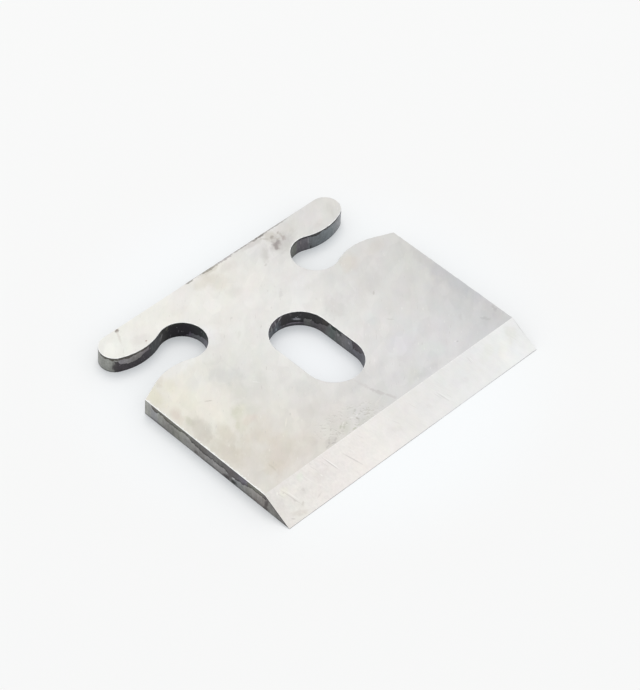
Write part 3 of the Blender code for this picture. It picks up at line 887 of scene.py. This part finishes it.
# Down in the slot the colours are partly the wall's own and partly painted shade of the recess.
SLOT_BARE_AND_SHADE = [
    (-26.0, (104, 104, 106)), (-10.5, (98, 99, 104)), (-8.5, (100, 100, 107)),
    (-6.2, (104, 104, 109)), (-4.5, (109, 108, 110)), (-3.0, (104, 104, 104)),
    (-1.8, (94, 103, 100)), (-1.2, (98, 101, 100)), (-0.2, (97, 93, 94)), (1.2, (92, 88, 92)),
    (2.1, (88, 86, 88)), (2.3, (99, 99, 97)), (3.35, (98, 98, 97)), (3.45, (72, 70, 72)),
    (5.0, (78, 75, 80)), (6.9, (70, 67, 70)), (7.3, (84, 88, 94)), (9.3, (90, 94, 100)),
    (19.0, (105, 105, 106)),
]
SLOT_SCALE_AND_SHADE = [
    (0.45, [
        (-26.0, 2.4, (100, 98, 100)), (-9.1, 2.6, (98, 95, 98)), (-8.4, 1.9, (84, 79, 84)),
        (-7.2, 1.5, (78, 72, 78)), (-6.5, 1.5, (68, 62, 68)), (-6.1, 2.75, (84, 82, 84)),
        (-4.5, 3.0, (92, 92, 92)), (-3.9, 3.0, (72, 74, 74)), (-3.65, 2.4, (60, 64, 62)),
        (-3.1, 2.4, (58, 62, 60)), (-2.85, 3.0, (60, 66, 63)), (-2.6, 2.2, (50, 60, 55)),
        (-2.0, 2.25, (50, 60, 55)), (-1.75, 2.9, (70, 72, 70)), (-1.1, 2.4, (62, 58, 54)),
        (-0.2, 1.95, (63, 58, 54)), (0.6, 1.6, (52, 49, 50)), (1.4, 1.25, (50, 49, 50)),
        (2.0, 1.3, (50, 49, 51)), (2.3, 1.55, (51, 50, 51)), (3.35, 1.7, (49, 48, 49)),
        (3.5, 0.65, (50, 49, 51)), (5.0, 0.75, (50, 48, 51)), (6.9, 0.6, (50, 47, 48)),
        (7.3, 1.1, (56, 52, 56)), (7.7, 2.2, (76, 71, 76)), (8.6, 1.8, (84, 78, 86)),
        (19.0, 1.8, (95, 94, 94)),
    ]),
]

# Spots on the walls are written as the face's stains are, with the height for y.
LEFT_SIDE_SPOTS = [
    (18.7, 1.4, 1.6, 0.62, 72, (94, 89, 89), 0.95),
    (17.9, 0.45, 0.9, 0.5, 10, (66, 62, 62), 0.9),
    (19.45, 0.5, 0.65, 0.55, 0, (46, 48, 44), 1.0),
    (19.4, 1.25, 0.45, 0.24, 20, (172, 172, 172), 1.0),
    (11.4, 0.45, 0.55, 0.35, 0, (96, 92, 90), 0.8),
    (6.3, 0.7, 0.4, 0.6, 0, (108, 110, 103), 0.7),
    (26.4, 1.5, 1.5, 0.42, 80, (84, 78, 76), 0.9),
    (26.3, 0.35, 0.9, 0.3, 20, (84, 78, 76), 0.7),
    (3.4, 0.3, 2.2, 0.22, 0, (98, 94, 94), 0.7),
    (14.6, 0.3, 2.6, 0.22, 0, (92, 88, 86), 0.7),
    (22.6, 0.3, 2.4, 0.2, 0, (96, 92, 88), 0.7),
    (24.6, 0.5, 1.2, 0.3, 0, (110, 100, 98), 0.6),
]
LEFT_EAR_SPOTS = [
    (15.9, 1.6, 0.75, 0.3, 70, (120, 118, 118), 0.95),
    (15.3, 1.5, 0.7, 0.12, 80, (112, 110, 112), 0.9),
    (14.9, 0.8, 0.5, 0.14, 80, (98, 98, 102), 0.8),
    (14.2, 2.2, 0.7, 0.14, 80, (94, 92, 92), 0.7),
    (13.2, 1.6, 0.7, 0.12, 84, (90, 94, 96), 0.7),
    (15.8, 2.7, 0.5, 0.2, 80, (98, 97, 84), 0.8),
    (17.2, 2.6, 0.5, 0.22, 80, (88, 87, 74), 0.8),
    (17.9, 0.7, 0.4, 0.12, 80, (84, 84, 88), 0.8),
    (19.2, 1.2, 0.4, 0.1, 80, (76, 74, 80), 0.8),
    (15.0, 0.5, 0.8, 0.2, -40, (24, 24, 28), 0.8),
    (21.0, 0.8, 0.6, 0.2, 84, (92, 84, 98), 0.5),
    (24.2, 1.0, 0.8, 0.2, 76, (132, 130, 138), 0.8),
    (23.6, 2.3, 0.6, 0.2, 80, (66, 76, 70), 0.8),
]
RIGHT_EAR_SPOTS = [
    (14.3, 0.4, 0.6, 0.18, 88, (40, 40, 42), 0.95),
    (14.85, 2.0, 0.8, 0.12, 88, (156, 156, 158), 0.95),
    (16.2, 2.1, 0.5, 0.12, 80, (136, 130, 132), 0.8),
    (18.1, 1.6, 0.6, 0.12, 70, (150, 152, 148), 0.8),
    (8.2, 2.0, 0.7, 0.14, 80, (172, 166, 168), 0.8),
    (9.8, 2.2, 0.5, 0.12, 80, (160, 158, 156), 0.7),
    (12.9, 2.3, 0.4, 0.1, 80, (140, 142, 146), 0.6),
]
SLOT_SPOTS = [
    (-7.2, 0.9, 0.9, 0.3, 10, (120, 118, 128), 0.7),
    (-5.6, 1.95, 0.3, 0.2, 60, (140, 140, 142), 0.8),
    (-3.2, 1.95, 0.3, 0.18, 80, (150, 150, 150), 0.85),
    (-3.8, 2.4, 0.24, 0.3, 0, (50, 54, 52), 0.9),
    (-4.4, 0.5, 0.3, 0.12, 80, (144, 144, 144), 0.7),
    (-1.4, 2.75, 0.4, 0.14, 80, (150, 146, 144), 0.8),
    (4.7, 1.5, 0.75, 0.3, 8, (160, 160, 166), 1.0),
    (4.75, 1.8, 0.24, 0.2, 0, (150, 150, 158), 0.9),
    (5.2, 0.64, 1.9, 0.2, 0, (126, 120, 128), 0.9),
    (5.6, 2.7, 0.5, 0.2, 80, (78, 74, 76), 0.7),
    (7.5, 2.6, 0.8, 0.2, -58, (146, 144, 146), 0.9),
    (7.6, 1.4, 0.8, 0.2, 84, (50, 46, 50), 0.8),
    (8.5, 2.1, 0.8, 0.14, 74, (146, 144, 148), 0.9),
    (8.9, 1.3, 0.7, 0.2, 80, (60, 56, 60), 0.8),
    (9.6, 1.8, 0.8, 0.14, 78, (142, 146, 142), 0.9),
    (8.2, 0.6, 0.5, 0.16, 84, (150, 160, 166), 0.8),
]

# How far noise moves the layers' borders up and down, and all the colours along the wall,
# in millimetres, and how much the steel shines just under a border. The gain lifts every
# wall colour a little, painted light that offsets the shade the walls get.
BORDER_JAG = 1.5
BORDER_SWAY = 1.4
BORDER_SHINE = 0.25
SPOT_RIM = 1.7
WALL_LIGHT_GAIN = 1.05
WALL_BURR_COLOR = linear(88, 82, 80)
FLECK_COLOR = linear(170, 170, 168)
GRAIN_DEPTH = 0.00003


def ramped_run(run, stops):
    """Colour that changes along a wall, from its first stop to its last."""
    return ramped(run, stops[0][0], stops[-1][0], stops)


def layered(wall_place, bare, layers, ragged, sway):
    """Bare steel with each layer laid over the last one above its own ragged border."""
    run = wall_place.axis("X") + (sway - 0.5) * BORDER_SWAY
    height = wall_place.axis("Y")
    color = ramped_run(run, [(at, linear(*tone)) for at, tone in bare])
    for darkening, stops in layers:
        tone = ramped_run(run, [(at, linear(*tone)) for at, _, tone in stops])
        levels = [(at, [level / NEVER] * 3 + [1]) for at, level, _ in stops]
        border = ramped_run(run, levels) * NEVER
        above = height - border + (ragged - 0.5) * BORDER_JAG
        lip = above.between(0.14, 0.5, darkening, 0.0)
        color = color.scaled(1.0 + above.between(-0.8, -0.15) * darkening * BORDER_SHINE)
        color = color.mixed(tone.scaled(1.0 - lip), above.between(-0.04, 0.06))
    return color


def scale_finish(name, bare, layers, spots):
    """Finish of one stretch of wall, from its bare steel, its layers and its spots."""
    material, wire, shader = new_finish(name)
    place = wire.node("TexCoord", output=3).scaled(1 / MILLIMETRE)
    wall_place = wire.node("UVMap", {"uv_map": "wall_place"})
    ragged = place.noise(0.9, 60.0, detail=5.0, roughness=0.62)
    stripes = place.times((1, 1, 0.3)).noise(0.34, 61.0, detail=3.0, roughness=0.6)
    grit = place.noise(0.3, 62.0, detail=3.0)
    cloud = place.noise(1.6, 63.0, detail=3.0)
    sway = place.noise(0.7, 65.0, detail=4.0)
    color = layered(wall_place, bare, layers, ragged, sway)
    color = stained(color, wall_place, spots, ragged, SPOT_RIM)
    gain = 1.0 + (stripes - 0.5) * 0.85 + (grit - 0.5) * 0.9 + (cloud - 0.5) * 0.7
    # Painted light: the wall gain lifts every colour.
    color = color.scaled(gain * WALL_LIGHT_GAIN)

    level = place.axis("Z")
    # Darker at the foot: partly dirt, partly a painted contact shadow where the wall meets the
    # floor.
    foot = level.between(0.12, 0.42, 0.85, 0.0) * ragged.between(0.30, 0.50)
    color = color.mixed(color.scaled(0.5), foot)
    thickness = THICKNESS / MILLIMETRE
    top = level.between(thickness - 0.34, thickness - 0.12, 0.0, 0.8) * grit.between(0.3, 0.55)
    color = color.mixed(color.scaled(0.45), top)
    slope = place.axis("Y") * BEVEL_SLOPE + (EDGE_LAND - FRONT * BEVEL_SLOPE) / MILLIMETRE
    burr = (slope - level).between(0.2, 0.45, 0.85, 0.0) * slope.between(0.06, 0.2)
    color = color.mixed(WALL_BURR_COLOR, burr)
    fleck = place.noise(0.36, 64.0, detail=2.0).between(0.66, 0.72)
    color = color.mixed(FLECK_COLOR, fleck * 0.5)
    feed_steel(shader, color, 0.5 + (grit - 0.5) * 0.3, metallic=0.5)
    bump = wire.node("Bump", None, {"Height": stripes * 0.6 + grit * 0.4,
                                    "Strength": 1.0, "Distance": GRAIN_DEPTH})
    feed(bump, shader, "Normal")
    return material


# The walls that the photograph hides are made the same way, from a seeded draw of how
# bright the steel is, how bright the scale is, and how much warmer than grey they are.
HIDDEN_STOPS = 24
HIDDEN_LEAST = [128, 94, -3]
HIDDEN_MOST = [150, 116, 6]
HIDDEN_BORDER = (1.5, 2.6)
HIDDEN_DARKENING = 0.5


def hidden_finish(name, length, seed):
    """Finish of a stretch of wall that the photograph hides, from its length and a seed."""
    draw = np.random.default_rng(seed)
    bare = []
    scale = []
    for at in np.linspace(0, length, HIDDEN_STOPS):
        grey, dark, warmth = draw.uniform(HIDDEN_LEAST, HIDDEN_MOST)
        bare.append((at, (grey, grey - 1, grey - warmth)))
        border = draw.uniform(*HIDDEN_BORDER)
        scale.append((at, border, (dark, dark - 1, dark - warmth)))
    return scale_finish(name, bare, [(HIDDEN_DARKENING, scale)], [])


right_length = front_right - EAR_RUN
shoulder_length = left_start - EAR_RUN - left_corner
back_length = 2 * SIDE / MILLIMETRE

# The narrow land at the cutting edge is bare steel, painted dark in places along the edge:
# painted shade and a painted dark reflection of the floor, so the edge shows as a broken
# dark hairline.
LAND_STEEL_AND_SHADE = [
    (0, (96, 96, 98)), (5, (116, 116, 117)), (9, (198, 198, 198)), (15, (222, 222, 222)),
    (21, (210, 211, 211)), (26, (138, 138, 139)), (30, (112, 112, 112)), (34, (146, 144, 143)),
    (38, (142, 140, 138)), (42, (98, 97, 96)), (46, (98, 96, 96)), (50, (158, 155, 153)),
    (54, (118, 114, 112)),
]
wall_finishes = [
    scale_finish("slot_scale", SLOT_BARE_AND_SHADE, SLOT_SCALE_AND_SHADE, SLOT_SPOTS),
    scale_finish("right_ear_scale", RIGHT_EAR_BARE, RIGHT_EAR_SCALE, RIGHT_EAR_SPOTS),
    hidden_finish("right_side_scale", right_length, 31),
    scale_finish("front_land", LAND_STEEL_AND_SHADE, [], []),
    scale_finish("left_side_scale", LEFT_SIDE_BARE, LEFT_SIDE_SCALE, LEFT_SIDE_SPOTS),
    hidden_finish("left_shoulder_scale", shoulder_length, 32),
    scale_finish("left_ear_scale", LEFT_EAR_BARE_AND_SHADE, LEFT_EAR_SCALE_AND_SHADE, LEFT_EAR_SPOTS),
    hidden_finish("back_scale", back_length, 33),
]


# The flat back, on which the blade lies in the tool. It is the same steel, ground flat
# nearly straight across and honed a little behind the edge.
BACK_GRIND_TURN = 4
UNDER_TONE = [(-26, (226, 224, 219)), (0, (220, 219, 215)), (26, (225, 224, 221))]
UNDER_HONED_COLOR = linear(234, 234, 232)
BACK_STAINS = [
    (-14.0, 8.0, 5.0, 2.6, 30, (206, 203, 194), 0.6),
    (17.0, -3.0, 4.5, 3.0, 70, (209, 208, 203), 0.6),
    (-20.0, -8.0, 3.2, 2.2, 15, (212, 207, 195), 0.6),
    (5.0, 18.0, 3.0, 1.6, 10, (204, 200, 192), 0.6),
    (9.0, -13.0, 2.2, 1.4, 40, (211, 210, 207), 0.5),
]
ground_back, back_wire, shader = new_finish("ground_back")
plan = from_above(back_wire)
color = along_width(plan, UNDER_TONE)
honed = plan.axis("Y").between(-21.5, -18.5, 0.8, 0.0)
color = color.mixed(UNDER_HONED_COLOR, honed)
ragged = plan.noise(2.2, 71.0, detail=4.0)
color = stained(color, plan, BACK_STAINS, ragged, STAIN_RIM)
grind = plan.drawn_out(9.0, 0.16, BACK_GRIND_TURN).noise(0.9, 72.0, detail=2.0)
cloud = plan.noise(4.0, 73.0, detail=4.0)
color = color.scaled(1.0 + (grind - 0.5) * 0.14 + (cloud - 0.5) * 0.08)
feed_steel(shader, color, 0.34 + (grind - 0.5) * 0.16)

for finish in [ground_face, ground_bevel, bright_rim, ground_back, *wall_finishes]:
    skin.materials.append(finish)


# The floor: a plain pale sweep that the blade lies on. Seen straight or in a reflection it
# glows with a share of its own white, as an overexposed ground does, so shadows stay faint.
# Under and near the blade its white is painted a little brighter, painted light that lifts
# the shade on the floor of the slot.
FLOOR_SIZE = 3.0
FLOOR_GLOW = 0.25
GLOW_TINT = (0.95, 1.0, 1.045)
FLOOR_UNDER_LIT = linear(251, 251, 251)
FLOOR_NEAR = linear(248, 248, 247)
FLOOR_FAR = linear(246, 244, 241.5)
NEAR_PATCH = (0, 0, 24, 24, 0)


def seen_directly(wire):
    """One where a ray comes from the camera, a reflection or a clear solid, and else zero."""
    seen = wire.node("LightPath", output="Is Camera Ray")
    for kind in ["Is Glossy Ray", "Is Transmission Ray"]:
        seen = seen.math("MAXIMUM", seen, wire.node("LightPath", output=kind))
    return seen


floor_mesh = bpy.data.meshes.new("floor")
reach = FLOOR_SIZE / 2
floor_mesh.from_pydata([(-reach, -reach, 0), (reach, -reach, 0), (reach, reach, 0),
                        (-reach, reach, 0)], [], [(0, 1, 2, 3)])
floor_white, floor_wire, shader = new_finish("floor_white")
near = from_above(floor_wire).nearness(*NEAR_PATCH)
far_white = near.between(0.25, 0.6).choose(FLOOR_FAR, FLOOR_NEAR)
# Painted light: a brighter white under and near the blade.
white = far_white.mixed(FLOOR_UNDER_LIT, near.between(0.7, 1.0))
matt = floor_wire.node("BsdfDiffuse", None, {"Color": white})
glow = floor_wire.node("Emission", None, {"Color": white.times(GLOW_TINT)})
share = seen_directly(floor_wire) * FLOOR_GLOW
surface_mix = floor_wire.node("MixShader", None, {0: share, 1: matt, 2: glow})
feed(surface_mix, floor_wire.tree.nodes["Material Output"], "Surface")
floor_wire.tree.nodes.remove(shader)
floor_mesh.materials.append(floor_white)
set_out("floor", floor_mesh)


# The light: a white room all round, which is brighter where it is seen than in the light
# it gives, and one large soft lamp behind the blade that no reflection shows.
ROOM_SEEN = 1.0
ROOM_LIGHT = 0.82
ROOM_TINT = (0.975, 1.0, 1.03, 1.0)
ROOM_WHITE = (1.0, 1.0, 1.0, 1.0)
LAMP_TINT = (1.0, 0.97, 0.93)
world = bpy.data.worlds.new("white_room")
world.use_nodes = True
bpy.context.scene.world = world
world_wire = Wire(world.node_tree)
background = world.node_tree.nodes["Background"]
seen = seen_directly(world_wire)
feed(seen * (ROOM_SEEN - ROOM_LIGHT) + ROOM_LIGHT, background, "Strength")
feed(seen.choose(ROOM_TINT, ROOM_WHITE), background, "Color")

LAMP_HEADING = math.radians(50)
LAMP_RISE = math.radians(65)
LAMP_DISTANCE = 3.0
LAMP_WIDTH = 1.8
LAMP_POWER = 26.0
lamp = bpy.data.lights.new("soft_box", "AREA")
lamp.shape = "DISK"
lamp.size = LAMP_WIDTH
lamp.energy = LAMP_POWER
lamp.color = LAMP_TINT
lamp_object = set_out("soft_box", lamp)
lamp_object.location = (LAMP_DISTANCE * math.cos(LAMP_RISE) * math.cos(LAMP_HEADING),
                        LAMP_DISTANCE * math.cos(LAMP_RISE) * math.sin(LAMP_HEADING),
                        LAMP_DISTANCE * math.sin(LAMP_RISE))
lamp_object.rotation_euler = lamp_object.location.to_track_quat("Z", "Y").to_euler()
lamp_object.visible_glossy = False


# The camera stands where the photograph was taken from, as fitted to the blade's corners
# and straight edges, and looks down over the left end of the cutting edge.
CAMERA_PLACE = (-0.2373, -0.22021, 0.33804)
CAMERA_HEADING = math.radians(-47.354)
CAMERA_FALL = math.radians(46.0)
CAMERA_ROLL = math.radians(3.46)
LENS = 157.56
SENSOR_WIDTH = 36.0
camera_data = bpy.data.cameras.new("camera")
camera_data.sensor_width = SENSOR_WIDTH
camera_data.lens = LENS
camera = set_out("camera", camera_data)
camera.matrix_world = (Matrix.Translation(CAMERA_PLACE)
                       @ Matrix.Rotation(CAMERA_HEADING, 4, "Z")
                       @ Matrix.Rotation(math.pi / 2 - CAMERA_FALL, 4, "X")
                       @ Matrix.Rotation(CAMERA_ROLL, 4, "Z"))
bpy.context.scene.camera = camera
bpy.context.scene.view_settings.view_transform = "Standard"
